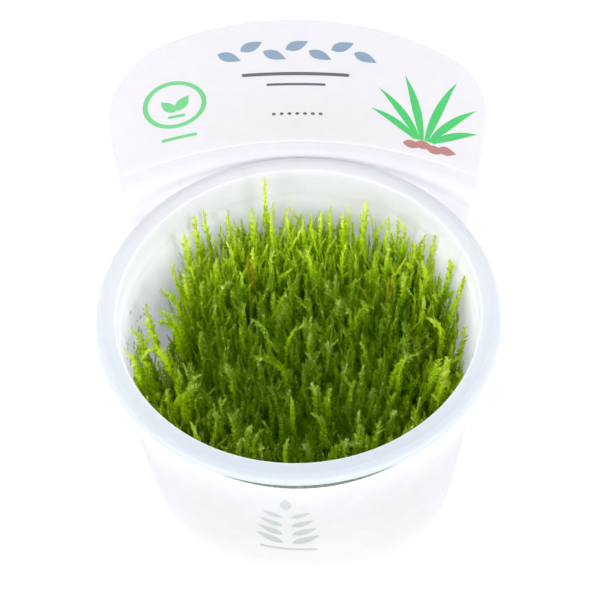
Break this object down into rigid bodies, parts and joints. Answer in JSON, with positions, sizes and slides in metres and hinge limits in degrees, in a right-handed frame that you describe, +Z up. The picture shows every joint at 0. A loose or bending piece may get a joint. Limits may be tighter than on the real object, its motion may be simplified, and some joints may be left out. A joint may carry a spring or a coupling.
{
  "type": "tissue culture cup of moss",
  "caption": "Open clear plastic cup with a stepped rim, full of upright spiky moss on pale gel, in a white card sleeve that rises behind it into a display tab with rounded shoulders.",
  "frame": {"origin": "centre of the flat face that the cup stands on, below the middle of its rim", "axes": "+Z up along the cup's axis, -Y to the front, +Y to the back where the display tab stands, +X to the right as the front is looked at"},
  "size_m": [0.1, 0.1016, 0.1174],
  "materials": {
    "cup_plastic": "thin moulded plastic, milky and translucent, glossy with a faint blue tint",
    "sleeve_card": "smooth white coated card with a soft sheen",
    "growth_gel": "clear pale set gel, wet and glossy",
    "moss_leaf": "living moss, fine leaves, fresh green with pale tips, slightly moist"
  },
  "bodies": {
    "root": {"cup": "cup_plastic", "sleeve": "sleeve_card", "growth_gel": "growth_gel", "moss": "moss_leaf", "moss_back": "moss_leaf"}
  },
  "joints": []
}
